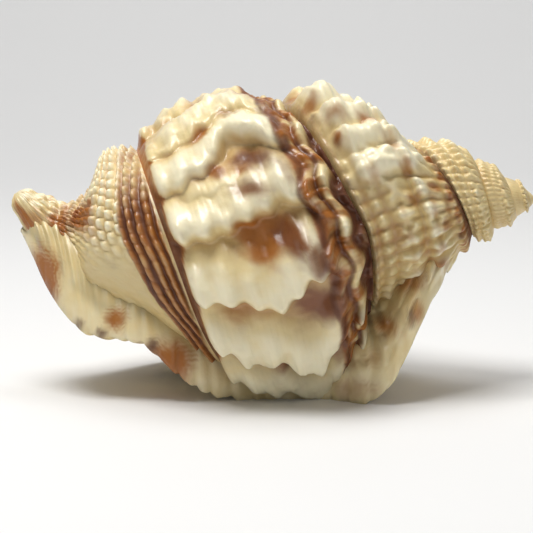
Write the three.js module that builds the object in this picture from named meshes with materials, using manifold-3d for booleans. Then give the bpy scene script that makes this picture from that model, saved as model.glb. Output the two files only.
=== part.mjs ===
// A distorsio shell lying on its aperture: a knobbly whorled snail shell, grown as one piece.
// Millimetres, +Z up. The spire points to +X and the siphonal canal to -X.
// Every whorl is a strip that winds about a bent centre line. A growth angle says where on the coil
// a point lies, and rises toward the lip: 0 faces -Y, 90 the top, 180 the back and 270 the underside.

import * as THREE from 'three';
import { ParametricGeometry } from 'three/addons/geometries/ParametricGeometry.js';
import { mergeGeometries, mergeVertices } from 'three/addons/utils/BufferGeometryUtils.js';
import Module from 'manifold-3d';

const wasm = await Module();
wasm.setup();

// Fineness of the facets
const TURN = 360;
const COLUMNS_PER_TURN = 48;
const COLUMNS = 178;
const WHORL_ROWS = 17;
const BASE_ROWS = 8;
const SHIELD_STATIONS = 26;
const SHIELD_ROUND = 16;
const CAP_RINGS = 3;
const HOLLOW_FACETS = { round: 20, along: 12 };
const MOUTH_FACETS = { round: 24, along: 8 };
const GROOVE_FACETS = { round: 8, along: 10 };
const ROW_CROWDING = 1.3;
const MERGE_WITHIN = 0.002;
const SMALLEST_EDGE = 0.02;

// Growth angles of the outer lip and of the oldest part of the spire
const LIP = 232;
const START = LIP - COLUMNS * TURN / COLUMNS_PER_TURN;

// Ends of the shell along X
const TIP_X = -32.3;
const APEX_X = 33.2;

// The height that the shell's worn feet are cut to, before it is set down on z = 0
const REST_Z = 1.3;

// Centre line of the coil: place along X, height
const CENTRE_Z = [
  [-32.1, 25.7], [-28, 21.7], [-24.2, 19.6], [-20.4, 18.6], [-15.4, 18], [-9, 17.9], [-2.8, 18.4],
  [3.5, 19.3], [9.7, 20.6], [16, 22.8], [22.3, 24.4], [28.6, 25], [34.5, 25],
];

// Lean of the coil's cross-sections: place along X, degrees
const LEAN = [[-32.1, -46], [-28.5, -34], [-24.2, -12], [-19, 6], [-12, 11], [20, 11], [28, 6], [34.5, 0]];

// The suture, where one whorl meets the last: growth angle, place along X
const SUTURE_X = [
  [-1260, 31.2], [-1080, 29.9], [-900, 28.3], [-720, 26.6], [-630, 25.8], [-540, 25.2], [-450, 24.5],
  [-360, 23.2], [-315, 21.4], [-270, 18.2], [-180, 15], [-90, 10], [-60, 10.3], [-40, 10.9], [0, 11.6],
  [30, 9.9], [60, 7.4], [90, 4.6], [180, 0.2], [270, -5], [300, -8], [330, -9.8], [360, -11],
  [405, -13], [450, -14.4], [592, -15.6],
];

// The suture's distance from the centre line, by growth angle
const SUTURE_R = [
  [-1260, 1.9], [-1080, 2.6], [-900, 3.3], [-720, 4.3], [-630, 5], [-540, 4.6], [-450, 4], [-360, 6.4],
  [-270, 7.9], [-180, 9.4], [-90, 9.4], [0, 12.2], [45, 15], [90, 16.2], [180, 15.6], [232, 15],
  [270, 13.8], [300, 15.2], [360, 15.2], [450, 13.4], [592, 13.8],
];

// How far a whorl swells out between its two sutures, and toward which of them, by growth angle.
// The power below 1 gives it full shoulders.
const SWELL_POWER = 0.75;
const SWELL = [
  [-1260, 0.7], [-1080, 0.9], [-720, 1.2], [-630, 1.3], [-540, 1.2], [-450, 1.1], [-360, 2.6],
  [-270, 3.6], [-180, 4], [-90, 4.4], [-40, 4.8], [0, 5.2], [90, 4.1], [180, 4], [232, 4.2],
];
const SKEW = [
  [-720, 0.9], [-630, 0.9], [-450, 0.8], [-360, 0.75], [-320, 1.1], [-270, 2.4], [-230, 1.3],
  [-180, 0.9], [-90, 0.75], [0, 0.62], [60, 0.66], [90, 0.8], [160, 0.8],
];

// Radius of the base and canal by place along X, and how much flatter they are underneath
const CANAL_R = [
  [-32.3, 0], [-31.9, 1], [-30.5, 1.9], [-28, 2.9], [-26, 4], [-24.3, 5.6], [-22.6, 9.4], [-20, 11.4],
  [-17, 12.8], [-14, 14],
];
const CANAL_UNDERSIDE = [[-27, 1], [-23, 0.72], [-18, 0.72], [-9, 1]];

// Share of the base over which it blends from the last whorl's edge, and its widening over one turn
const BASE_BLEND = 0.55;
const BASE_GROWTH = 0.1;

// Axial ribs and the thicker varices: growth angle, height, half width
const RIBS = [
  [-321, 1.5, 11], [-300, 2.3, 12], [-279, 2.9, 13], [-257, 1.8, 12], [-232, 1, 12], [-208, 0.9, 12],
  [-184, 0.9, 12], [-160, 0.9, 12], [-136, 0.9, 12], [-112, 0.9, 12], [-86, 1, 14], [-61, 3, 17],
  [-37, 1.7, 17], [-9, 1.6, 19], [20, 1.6, 19], [47, 1.8, 17], [71, 1.5, 15], [95, 1.2, 15],
  [120, 1.2, 15], [145, 1.2, 15], [170, 1.2, 15], [194, 1.3, 15], [222, 3, 20],
];

// Degrees that a rib leans along the coil from one suture to the next, by growth angle
const RIB_SLANT = [
  [-400, 4], [-300, 10], [-200, 0], [-59, -4], [-36, 3], [-9, 11], [20, 18], [50, 20], [71, 10], [120, 6],
  [192, 0],
];

// Place across the whorl where the ribs have risen to full height, by growth angle, and the places
// where they begin to rise and to fall
const RIB_START = [[-330, 0.2], [-300, 0.6], [-260, 0.6], [-235, 0.15], [-130, 0.15], [-80, 0.24]];
const RIB_EDGE = 0.02;
const RIB_FALL = 0.86;

// Low close ribs of the oldest whorls, up to this growth angle
const SPIRE_RIBS_END = -335;
const SPIRE_RIB_STEP = 17;
const SPIRE_RIB_HEIGHT = 0.25;

// Knobs that the spiral cords raise on the last whorl: place across it, half width, height. They keep a
// share of their height between the ribs, and the rest comes with the rib.
const KNOBS = [[0.1, 0.06, 1.1], [0.3, 0.08, 0.7], [0.52, 0.08, 0.5], [0.74, 0.09, 0.7]];
const KNOB_SHARE = 0.35;

// The sunk channel along the last whorl's suture, and the growth angles over which the last whorl's
// own sculpture comes in
const CHANNEL = { at: 0.035, half: 0.035, depth: 0.9 };
const LATE_GROWTH = [-130, -80];

// Near and far edges of the shield that spreads under the shell: place along X, Y or Z
const SHIELD_ENDS = [-31.6, 22.2];
const NEAR_Y = [
  [-31.6, 0], [-30, -2.4], [-28, -4.6], [-25.5, -7], [-23, -9], [-20, -10], [-15.5, -11],
  [-12.5, -11.2], [-8.5, -10.4], [-2, -8.6], [6, -8.4], [9, -10], [12.5, -11.8], [15, -12.4], [17, -12],
  [19, -10], [21, -7], [22.2, -1],
];
const NEAR_Z = [
  [-31.6, 21.2], [-30, 18.8], [-28, 15], [-25.5, 11.9], [-23, 10], [-20, 9.4], [-15.5, 8.8],
  [-12.5, 6], [-8.5, 3], [-4, 1.6], [0, 1.2], [4.5, 1], [9, 1.1], [12.5, 2.4], [15, 5.4], [17, 9.6],
  [19, 13.4], [21, 16.4], [22.2, 18.6],
];
const FAR_Y = [
  [-31.6, 0], [-28, 4], [-24, 7], [-20, 11], [-16, 15], [-12, 17.5], [-7, 18.5], [-1, 18], [5, 16.5],
  [10, 14], [15, 11.5], [19, 8.5], [21, 5], [22.2, -1],
];
const FAR_Z = [
  [-31.6, 21.2], [-28, 15.6], [-24, 10.8], [-20, 7.3], [-16, 4.6], [-12, 2.4], [-7, 1.1], [-1, 1],
  [5, 1.6], [10, 4], [15, 8.4], [19, 13], [21, 16.4], [22.2, 18.6],
];

// How the shield's underside is hollowed and how its top rises under the whorl, by place along X
const SHIELD_HOLLOW = [[-14, 0], [-6, 0.9], [8, 0.9], [14, 0]];
const SHIELD_RISE = { height: 11, share: 0.52 };
const SHIELD_STEEPNESS = [[-16, 0.6], [-8, 0.35], [9, 0.35], [14, 0.6]];

// The aperture's mouth under the shell, the hollow that winds in from it, and the canal's groove
const MOUTH = { x: -7.5, y: 7.4, bottom: -6, top: 15, halfX: 9, halfY: 3.9 };
const HOLLOW = { x: -6, from: 246, to: 165, radius: 12, halfX: 7, halfR: 4.2 };
const GROOVE = { halfY: 0.9, halfZ: 2.6 };
const WINDING_TAPER = 6;
const GROOVE_PATH = [[-11, 7, 7], [-16, 5.4, 7.4], [-20.5, 2.6, 9.8], [-25, 0.8, 13], [-29.5, 0.2, 18.4]];

// Smooth curve through (place, value) keys, level where the values turn
function through(keys, place) {
  const last = keys.length - 1;
  if (place <= keys[0][0]) return keys[0][1];
  if (place >= keys[last][0]) return keys[last][1];
  let i = 0;
  while (place > keys[i + 1][0]) i += 1;
  const steps = keys.slice(1).map((key, j) => key[0] - keys[j][0]);
  const slopes = steps.map((step, j) => (keys[j + 1][1] - keys[j][1]) / step);
  const tangent = (j) => {
    if (j === 0) return slopes[0];
    if (j === last) return slopes[last - 1];
    if (slopes[j - 1] * slopes[j] <= 0) return 0;
    return (slopes[j - 1] * steps[j] + slopes[j] * steps[j - 1]) / (steps[j - 1] + steps[j]);
  };
  const step = steps[i];
  const t = (place - keys[i][0]) / step;
  const fromHere = (2 * t ** 3 - 3 * t ** 2 + 1) * keys[i][1] + (t ** 3 - 2 * t ** 2 + t) * step * tangent(i);
  const share = -2 * t ** 3 + 3 * t ** 2;
  const fromNext = share * keys[i + 1][1] + (t ** 3 - t ** 2) * step * tangent(i + 1);
  return fromHere + fromNext;
}

// 1 at the centre, falling smoothly to 0 at half a width either side
function hump(place, centre, half) {
  const t = Math.min(Math.abs(place - centre) / half, 1);
  return (1 - t * t) ** 2;
}

// How far the ribs stand out where growth angle and place across the whorl are given
function ribHeight(angle, across) {
  const along = angle + through(RIB_SLANT, angle) * (across - 0.5);
  const tallest = Math.max(0, ...RIBS.map(([at, height, half]) => height * hump(along, at, half)));
  if (angle > SPIRE_RIBS_END) return tallest;
  const wave = 0.5 + 0.5 * Math.cos(2 * Math.PI * along / SPIRE_RIB_STEP);
  return tallest + SPIRE_RIB_HEIGHT * through([[-1260, 1], [SPIRE_RIBS_END, 3]], angle) * wave;
}

// Ribs with their knobs, and the channel along the suture of the last whorl
function sculpture(angle, across) {
  const late = THREE.MathUtils.smoothstep(angle, ...LATE_GROWTH);
  const start = THREE.MathUtils.smoothstep(across, RIB_EDGE, through(RIB_START, angle));
  const end = 1 - THREE.MathUtils.smoothstep(across, RIB_FALL, 1);
  const rib = ribHeight(angle, across);
  const knobs = KNOBS.map(([at, half, height]) => height * hump(across, at, half));
  const kept = THREE.MathUtils.lerp(KNOB_SHARE, 1, Math.min(rib, 1));
  const knob = knobs.reduce((sum, height) => sum + height, 0) * kept;
  const channel = CHANNEL.depth * hump(across, CHANNEL.at, CHANNEL.half);
  return rib * start * end + (knob - channel) * late;
}

// Point at a place along X, a distance from the centre line and a growth angle
function place(x, radius, angle, target) {
  const turn = THREE.MathUtils.degToRad(angle);
  const lean = THREE.MathUtils.degToRad(through(LEAN, x));
  const up = radius * Math.sin(turn);
  const height = through(CENTRE_Z, x) + up * Math.cos(lean);
  return target.set(x - up * Math.sin(lean), -radius * Math.cos(turn), height);
}

// Outline of a whorl, as place along X and radius: across runs from its own suture to the next one
function whorlOutline(angle, across) {
  const x = THREE.MathUtils.lerp(through(SUTURE_X, angle), through(SUTURE_X, angle + TURN), across);
  const radius = THREE.MathUtils.lerp(through(SUTURE_R, angle), through(SUTURE_R, angle + TURN), across);
  const skewed = across ** through(SKEW, angle);
  const swell = through(SWELL, angle) * Math.sin(Math.PI * skewed) ** SWELL_POWER;
  return new THREE.Vector2(x, radius + swell + sculpture(angle, across));
}

// Outline of the base and canal: down runs from the last whorl's edge to the canal's tip
function baseOutline(angle, down) {
  const edgeX = through(SUTURE_X, angle + TURN);
  const edgeR = through(SUTURE_R, angle + TURN);
  const x = THREE.MathUtils.lerp(edgeX, TIP_X, down);
  const below = 0.5 - 0.5 * Math.sin(THREE.MathUtils.degToRad(angle));
  const growth = 1 + BASE_GROWTH * (angle - LIP + TURN) / TURN;
  const canal = (at) => through(CANAL_R, at) * growth * (1 + (through(CANAL_UNDERSIDE, at) - 1) * below);
  const blend = Math.max(1 - down / BASE_BLEND, 0) ** 2;
  const fit = edgeR / canal(edgeX) - 1;
  return new THREE.Vector2(x, canal(x) * (1 + fit * blend));
}

// The same outlines as points in space
function whorlPoint(angle, across, target) {
  const outline = whorlOutline(angle, across);
  return place(outline.x, outline.y, angle, target);
}

function basePoint(angle, down, target) {
  const outline = baseOutline(angle, down);
  return place(outline.x, outline.y, angle, target);
}

// The wall behind the lip, between the outer edge and the surface one turn below it
function lipWallGeometry() {
  const shares = (rows) => Array.from({ length: rows }, (_, row) => row / rows);
  const whorlEdge = shares(WHORL_ROWS).map((share) => whorlOutline(LIP, rowPlace(share)));
  const baseEdge = shares(BASE_ROWS).map((share) => baseOutline(LIP, share));
  const below = shares(BASE_ROWS).slice(1).map((share) => baseOutline(LIP - TURN, share));
  const tip = baseOutline(LIP, 1);
  const wall = new THREE.ShapeGeometry(new THREE.Shape([...whorlEdge, ...baseEdge, tip, ...below.reverse()]));
  const corner = new THREE.Vector3();
  const points = wall.attributes.position;
  for (let i = 0; i < points.count; i += 1) {
    place(points.getX(i), points.getY(i), LIP, corner);
    points.setXYZ(i, corner.x, corner.y, corner.z);
  }
  // A shape's faces look the other way from this wall's open side
  const turnedRound = [...wall.index.array].reverse();
  wall.setIndex(turnedRound);
  return wall;
}

// The rounded apex, from the rim of the oldest turn up to its pole
function capPoint(along, outward, target) {
  const step = along * (WHORL_ROWS + COLUMNS_PER_TURN);
  const around = step / COLUMNS_PER_TURN;
  if (step < COLUMNS_PER_TURN + 0.5) {
    whorlPoint(START + around * TURN, 0, target);
  } else {
    whorlPoint(START, rowPlace(1 - (step - COLUMNS_PER_TURN) / WHORL_ROWS), target);
  }
  const pole = new THREE.Vector3(APEX_X, 0, through(CENTRE_Z, APEX_X));
  const spread = Math.sin(outward * Math.PI / 2);
  const rise = Math.cos(outward * Math.PI / 2);
  target.y = THREE.MathUtils.lerp(pole.y, target.y, spread);
  target.z = THREE.MathUtils.lerp(pole.z, target.z, spread);
  target.x = THREE.MathUtils.lerp(target.x, pole.x, rise);
  return target;
}

// Rows lie closer together near a whorl's own suture, where the channel and its cord are
function rowPlace(share) {
  return share ** ROW_CROWDING;
}

// Point of the shield: round runs 0 to 1 along its underside and 1 to 2 back over its top
function shieldPoint(share, round, target) {
  const x = THREE.MathUtils.lerp(...SHIELD_ENDS, 0.5 - 0.5 * Math.cos(Math.PI * share));
  const under = round <= 1;
  const t = under ? round : 2 - round;
  const near = new THREE.Vector2(through(NEAR_Y, x), through(NEAR_Z, x));
  const far = new THREE.Vector2(through(FAR_Y, x), through(FAR_Z, x));
  const width = far.x - near.x;
  const arch = Math.sin(Math.PI * Math.min(t, 1));
  const hollow = through(SHIELD_HOLLOW, x) * arch;
  const height = Math.min(SHIELD_RISE.height, SHIELD_RISE.share * width);
  const rise = height * Math.max(arch, 0) ** through(SHIELD_STEEPNESS, x);
  const line = near.lerp(far, t);
  return target.set(x, line.x, line.y + (under ? hollow : rise));
}

// A rounded winding body about a path, tapering to a point at both ends
function windingGeometry(centre, section, round, steps) {
  const point = (u, v, target) => {
    const turn = 2 * Math.PI * u;
    const size = Math.sqrt(Math.max(1 - (2 * v - 1) ** WINDING_TAPER, 0));
    return centre(v, section(Math.cos(turn) * size, Math.sin(turn) * size), target);
  };
  return new ParametricGeometry(point, round, steps);
}

// The hollow that winds up into the shell behind the aperture
function hollowGeometry() {
  const centre = (along, [sideways, outward], target) => {
    const angle = THREE.MathUtils.lerp(HOLLOW.from, HOLLOW.to, along);
    return place(HOLLOW.x + sideways, HOLLOW.radius + outward, angle, target);
  };
  const section = (a, b) => [a * HOLLOW.halfX, b * HOLLOW.halfR];
  return windingGeometry(centre, section, HOLLOW_FACETS.round, HOLLOW_FACETS.along);
}

// The mouth that opens through the shield
function mouthGeometry() {
  const centre = (along, [sideways, outward], target) => {
    const z = THREE.MathUtils.lerp(MOUTH.bottom, MOUTH.top, along);
    return target.set(MOUTH.x + sideways, MOUTH.y + outward, z);
  };
  const section = (a, b) => [a * MOUTH.halfX, b * MOUTH.halfY];
  return windingGeometry(centre, section, MOUTH_FACETS.round, MOUTH_FACETS.along);
}

// The narrow open groove along the canal
function grooveGeometry() {
  const path = new THREE.CatmullRomCurve3(GROOVE_PATH.map((point) => new THREE.Vector3(...point)));
  const centre = (along, [sideways, outward], target) => {
    path.getPoint(along, target);
    return target.set(target.x, target.y + sideways, target.z - GROOVE.halfZ + outward);
  };
  const section = (a, b) => [-a * GROOVE.halfY, b * GROOVE.halfZ];
  return windingGeometry(centre, section, GROOVE_FACETS.round, GROOVE_FACETS.along);
}

// The whorls, base, apex and lip wall as one closed surface
function coilGeometry() {
  const columnAngle = (share) => START + share * COLUMNS * TURN / COLUMNS_PER_TURN;
  const baseAngle = (share) => LIP - TURN + share * TURN;
  const whorls = (u, v, target) => whorlPoint(columnAngle(u), rowPlace(v), target);
  const base = (u, v, target) => basePoint(baseAngle(u), v, target);
  return mergeGeometries([
    new ParametricGeometry(whorls, COLUMNS, WHORL_ROWS),
    new ParametricGeometry(base, COLUMNS_PER_TURN, BASE_ROWS),
    lipWallGeometry(),
    new ParametricGeometry(capPoint, WHORL_ROWS + COLUMNS_PER_TURN, CAP_RINGS),
  ]);
}

// The same surface with its corners shared and its collapsed faces left out
function shared(geometry) {
  geometry.deleteAttribute('normal');
  geometry.deleteAttribute('uv');
  const merged = mergeVertices(geometry, MERGE_WITHIN);
  const corners = merged.index.array;
  const faces = [];
  for (let i = 0; i < corners.length; i += 3) {
    const [a, b, c] = corners.subarray(i, i + 3);
    if (a !== b && b !== c && c !== a) faces.push(a, b, c);
  }
  merged.setIndex(faces);
  return merged;
}

// A closed solid from a geometry whose patches meet at their edges
function solidFrom(geometry) {
  const merged = shared(geometry);
  const vertProperties = merged.attributes.position.array;
  const triVerts = new Uint32Array(merged.index.array);
  return new wasm.Manifold(new wasm.Mesh({ numProp: 3, vertProperties, triVerts, tolerance: SMALLEST_EDGE }));
}

// Everything above the level that the feet are worn to
function aboveRest() {
  const side = 4 * APEX_X;
  const block = new THREE.BoxGeometry(side, side, side);
  block.translate(0, 0, REST_Z + side / 2);
  return solidFrom(block);
}

// The whole shell: coil and shield joined, the openings cut and the feet worn flat, set down on z = 0
function shellGeometry() {
  const shieldRound = (u, v, target) => shieldPoint(u, 2 - 2 * v, target);
  const shield = new ParametricGeometry(shieldRound, SHIELD_STATIONS, SHIELD_ROUND);
  const solid = solidFrom(coilGeometry())
    .add(solidFrom(shield))
    .subtract(solidFrom(hollowGeometry()))
    .subtract(solidFrom(mouthGeometry()))
    .subtract(solidFrom(grooveGeometry()))
    .intersect(aboveRest());
  const { vertProperties, triVerts } = solid.getMesh();
  const joined = new THREE.BufferGeometry();
  joined.setAttribute('position', new THREE.BufferAttribute(vertProperties, 3));
  joined.setIndex(new THREE.BufferAttribute(triVerts, 1));
  const geometry = shared(joined);
  geometry.computeBoundingBox();
  const { min, max } = geometry.boundingBox;
  geometry.translate(-(min.x + max.x) / 2, -(min.y + max.y) / 2, -min.z);
  geometry.computeVertexNormals();
  return geometry;
}

const shell = new THREE.Mesh(
  shellGeometry(),
  new THREE.MeshStandardMaterial({ color: '#d8c59c', roughness: 0.32, metalness: 0 }),
);
shell.name = 'shell';

const group = new THREE.Group();
group.add(shell);

export default group;
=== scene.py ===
import math

import bpy
import numpy as np
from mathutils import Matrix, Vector


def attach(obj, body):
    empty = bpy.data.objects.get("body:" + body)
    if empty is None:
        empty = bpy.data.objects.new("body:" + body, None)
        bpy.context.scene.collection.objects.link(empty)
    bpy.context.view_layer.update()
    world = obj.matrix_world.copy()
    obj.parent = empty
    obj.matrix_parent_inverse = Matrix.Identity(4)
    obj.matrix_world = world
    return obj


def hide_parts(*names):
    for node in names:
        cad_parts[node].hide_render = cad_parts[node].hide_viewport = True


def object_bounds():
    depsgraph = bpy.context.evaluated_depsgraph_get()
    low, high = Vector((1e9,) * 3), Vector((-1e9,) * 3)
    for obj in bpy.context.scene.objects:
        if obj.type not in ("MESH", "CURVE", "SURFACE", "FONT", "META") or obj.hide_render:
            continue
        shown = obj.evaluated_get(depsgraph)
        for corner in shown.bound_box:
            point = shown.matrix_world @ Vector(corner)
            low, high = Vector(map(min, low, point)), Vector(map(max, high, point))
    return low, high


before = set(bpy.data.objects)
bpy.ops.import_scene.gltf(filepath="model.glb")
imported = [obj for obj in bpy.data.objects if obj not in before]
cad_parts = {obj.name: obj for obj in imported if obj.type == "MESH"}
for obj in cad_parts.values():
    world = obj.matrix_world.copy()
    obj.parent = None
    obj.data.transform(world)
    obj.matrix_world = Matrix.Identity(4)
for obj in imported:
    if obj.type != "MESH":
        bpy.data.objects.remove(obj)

cad_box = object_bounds()

# The shield and the aperture
# The flat callus round the mouth is one sheet of glossy enamel with a scalloped edge. It is laid down by
# the animal over the underside of the last whorl, and it turns in through the mouth to line the hollow.

MM = 0.001
TURN = 360.0

# Lengths are in millimetres and angles in degrees. The coil's own X runs from the canal's tip to the apex,
# and lists of pairs give values at places along it.
TIP_X = -32.3
REST_HEIGHT = 1.3
SIDE_SHIFT = -0.106

CENTRE_HEIGHT = [
    (-32.1, 25.7), (-28, 21.7), (-24.2, 19.6), (-20.4, 18.6), (-15.4, 18), (-9, 17.9), (-2.8, 18.4),
    (3.5, 19.3), (9.7, 20.6), (16, 22.8), (22.3, 24.4), (28.6, 25), (34.5, 25),
]
LEAN = [(-32.1, -46), (-28.5, -34), (-24.2, -12), (-19, 6), (-12, 11), (20, 11), (28, 6), (34.5, 0)]
SHIELD_ENDS = (-31.6, 22.2)
NEAR_EDGE = [
    (-31.6, 0), (-30, -2.4), (-28, -4.6), (-25.5, -7), (-23, -9), (-20, -10), (-15.5, -11),
    (-12.5, -11.2), (-8.5, -10.4), (-2, -8.6), (6, -8.4), (9, -10), (12.5, -11.8), (15, -12.4),
    (17, -12), (19, -10), (21, -7), (22.2, -1),
]
NEAR_HEIGHT = [
    (-31.6, 21.2), (-30, 18.8), (-28, 15), (-25.5, 11.9), (-23, 10), (-20, 9.4), (-15.5, 8.8),
    (-12.5, 6), (-8.5, 3), (-4, 1.6), (0, 1.2), (4.5, 1), (9, 1.1), (12.5, 2.4), (15, 5.4), (17, 9.6),
    (19, 13.4), (21, 16.4), (22.2, 18.6),
]
FAR_EDGE = [
    (-31.6, 0), (-28, 4), (-24, 7), (-20, 11), (-16, 15), (-12, 17.5), (-7, 18.5), (-1, 18), (5, 16.5),
    (10, 14), (15, 11.5), (19, 8.5), (21, 5), (22.2, -1),
]
FAR_HEIGHT = [
    (-31.6, 21.2), (-28, 15.6), (-24, 10.8), (-20, 7.3), (-16, 4.6), (-12, 2.4), (-7, 1.1), (-1, 1),
    (5, 1.6), (10, 4), (15, 8.4), (19, 13), (21, 16.4), (22.2, 18.6),
]
SHIELD_HOLLOW = [(-14, 0), (-6, 0.9), (8, 0.9), (14, 0)]
SHIELD_RISE = 11
SHIELD_RISE_SHARE = [(-30, 1.1), (-26, 0.95), (-19, 0.52)]
SHIELD_STEEPNESS = [(-30, 0.35), (-24, 0.4), (-16, 0.6), (-8, 0.35), (9, 0.35), (14, 0.6)]
MOUTH_CENTRE = (-7.5, 7.4)
MOUTH_HALF = (9, 3.9)
CAVITY_X = -6
CAVITY_RADIUS = 12
CAVITY_HALF = (7, 4.2)
CAVITY_ANGLES = (222, 165)
GROOVE_LINE = [(-29.5, 0.2), (-25, 0.8), (-20.5, 2.6), (-16, 5.4), (-11, 7)]
GROOVE_ROOF = [(-29.5, 18.4), (-25, 13), (-20.5, 9.8), (-16, 7.4), (-11, 7)]
GROOVE_HALF = 1.1
WANDER_WAVES = 4
WANDER_HEIGHT = 2.08
STAIN_EDGE = 0.25
STAIN_FADE = (0.1, 1.6)


def through(keys, place):
    """Smooth curve through (place, value) keys, level where the values turn."""
    places = np.array([key[0] for key in keys], float)
    values = np.array([key[1] for key in keys], float)
    steps = np.diff(places)
    slopes = np.diff(values) / steps
    tangents = np.empty(len(places))
    tangents[0] = slopes[0]
    tangents[-1] = slopes[-1]
    tangents[1:-1] = (slopes[:-1] * steps[1:] + slopes[1:] * steps[:-1]) / (steps[:-1] + steps[1:])
    tangents[1:-1][slopes[:-1] * slopes[1:] <= 0] = 0
    place = np.clip(np.asarray(place, float), places[0], places[-1])
    i = np.clip(np.searchsorted(places, place, side="right") - 1, 0, len(steps) - 1)
    t = (place - places[i]) / steps[i]
    here = (2 * t**3 - 3 * t**2 + 1) * values[i] + (t**3 - 2 * t**2 + t) * steps[i] * tangents[i]
    after = (3 * t**2 - 2 * t**3) * values[i + 1] + (t**3 - t**2) * steps[i] * tangents[i + 1]
    return here + after


def ease(place, start, end):
    """0 before start, 1 after end, and smooth between them."""
    t = np.clip((place - start) / (end - start), 0, 1)
    return t * t * (3 - 2 * t)


def hump(place, centre, half):
    """1 at the centre, falling smoothly to 0 at half a width either side."""
    t = np.clip(np.abs(place - centre) / half, 0, 1)
    return (1 - t * t) ** 2


def beads(phase):
    """Rounded swellings in a row, one for each whole step of phase, 0 in the gaps and 1 on top."""
    return np.abs(np.cos(math.pi * phase)) ** 0.7


def wander(a, b, seed):
    """Slow irregular waves between about -1 and 1 over two coordinates."""
    source = np.random.default_rng(seed)
    total = np.zeros(np.broadcast(a, b).shape)
    for octave in range(1, WANDER_WAVES + 1):
        turn_a, turn_b = source.uniform(0.6, 1.4, 2) * octave
        start_a, start_b = source.uniform(0, 2 * math.pi, 2)
        total += np.sin(turn_a * a + start_a + 1.3 * np.sin(turn_b * b + start_b)) / octave
    return total / WANDER_HEIGHT


def stains(a, b, spots, seed):
    """Share of colour from ragged oval spots, each given as place, place, half size, half size, strength."""
    ragged_a = wander(a * 0.35, b * 18, seed)
    ragged_b = wander(a * 0.3 + 7, b * 16, seed + 1)
    share = np.zeros(np.broadcast(a, b).shape)
    for at_a, at_b, half_a, half_b, strength in spots:
        far_a = (a - at_a) / half_a + STAIN_EDGE * ragged_a
        far_b = (b - at_b) / half_b + STAIN_EDGE * ragged_b
        share = np.maximum(share, strength * (1 - ease(np.hypot(far_a, far_b), *STAIN_FADE)))
    return share


def stand(points):
    """The coil's own millimetres moved to the part's frame, in metres."""
    shift = np.array([cad_box[0][0] / MM - TIP_X, SIDE_SHIFT, -REST_HEIGHT])
    return (points + shift) * MM


def place(x, radius, angle):
    """Points at a place along the coil, a distance from its centre line and a growth angle."""
    turn = np.radians(angle)
    lean = np.radians(through(LEAN, x))
    up = radius * np.sin(turn)
    height = through(CENTRE_HEIGHT, x) + up * np.cos(lean)
    return np.stack([x - up * np.sin(lean), -radius * np.cos(turn), height], -1)


def deselect_all():
    for piece in bpy.context.selected_objects:
        piece.select_set(False)


def sheet_from_grid(name, points):
    """A grid primitive bent to the given rows and columns of points."""
    deselect_all()
    columns, rows = points.shape[:2]
    bpy.ops.mesh.primitive_grid_add(x_subdivisions=rows - 1, y_subdivisions=columns - 1, size=0.01)
    piece = bpy.context.object
    piece.name = name
    piece.data.name = name
    piece.data.vertices.foreach_set("co", points.reshape(-1))
    piece.data.update()
    bpy.ops.object.shade_smooth()
    return piece


def paint(piece, **shares):
    """Numbers on every point of a piece, for the enamel to read."""
    for name, values in shares.items():
        layer = piece.data.attributes.new(name, "FLOAT", "POINT")
        layer.data.foreach_set("value", np.ascontiguousarray(values, np.float32).reshape(-1))


# Cream is the enamel's own colour. The deeper hollow cream is painted shade for the hollows, and the ivory is
# painted highlight on the crests, partly the chalkier enamel there.
CREAM = (0.76, 0.61, 0.31, 1)
IVORY = (0.90, 0.82, 0.58, 1)
HOLLOW_CREAM = (0.50, 0.31, 0.09, 1)
# The orange brown is the shell's own stain colour, and also painted shade in the spire's hollows.
ORANGE_BROWN = (0.36, 0.12, 0.013, 1)
# The dark brown is the shell's own brown, and also painted shadow in the suture's channel.
DARK_BROWN = (0.115, 0.030, 0.006, 1)
PURPLE_BROWN = (0.20, 0.062, 0.014, 1)
# The olive is painted shade, laid on the lower and shaded sides.
OLIVE = (0.33, 0.27, 0.14, 1)
CLOUDS_PER_METRE = 260
GRAINS_PER_METRE = 1500
GROWTH_LINES_PER_DEGREE = 0.45
GROWTH_LINES_ACROSS = 9
POLISH = (0.28, 0.48)
BROWN_DULLNESS = 0.3
BUMP_DEPTH = 0.3 * MM

enamel = bpy.data.materials.new("shell_enamel")
enamel.use_nodes = True
nodes = enamel.node_tree.nodes
links = enamel.node_tree.links
surface = nodes["Principled BSDF"]
surface.inputs["Coat Weight"].default_value = 0.35
surface.inputs["Coat Roughness"].default_value = 0.2
surface.inputs["Subsurface Weight"].default_value = 0.06
surface.inputs["Subsurface Radius"].default_value = (1, 0.55, 0.25)
surface.inputs["Subsurface Scale"].default_value = 0.0012


def attribute(name):
    node = nodes.new("ShaderNodeAttribute")
    node.attribute_name = name
    return node.outputs["Fac"]


def noise(vector, scale, detail):
    node = nodes.new("ShaderNodeTexNoise")
    node.inputs["Scale"].default_value = scale
    node.inputs["Detail"].default_value = detail
    links.new(vector, node.inputs["Vector"])
    return node.outputs["Fac"]


def math_node(operation, a, b):
    node = nodes.new("ShaderNodeMath")
    node.operation = operation
    for socket, value in zip(node.inputs, (a, b)):
        if isinstance(value, (int, float)):
            socket.default_value = value
        else:
            links.new(value, socket)
    return node.outputs[0]


def scaled(value, factor):
    return math_node("MULTIPLY", value, factor)


def added(a, b):
    return math_node("ADD", a, b)


def about_zero(value):
    """A noise moved so that it runs about zero."""
    return math_node("SUBTRACT", value, 0.5)


def ranged(value, low, high, to_low, to_high):
    node = nodes.new("ShaderNodeMapRange")
    node.interpolation_type = "SMOOTHSTEP"
    for name, number in (("From Min", low), ("From Max", high), ("To Min", to_low), ("To Max", to_high)):
        node.inputs[name].default_value = number
    links.new(value, node.inputs["Value"])
    return node.outputs["Result"]


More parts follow.
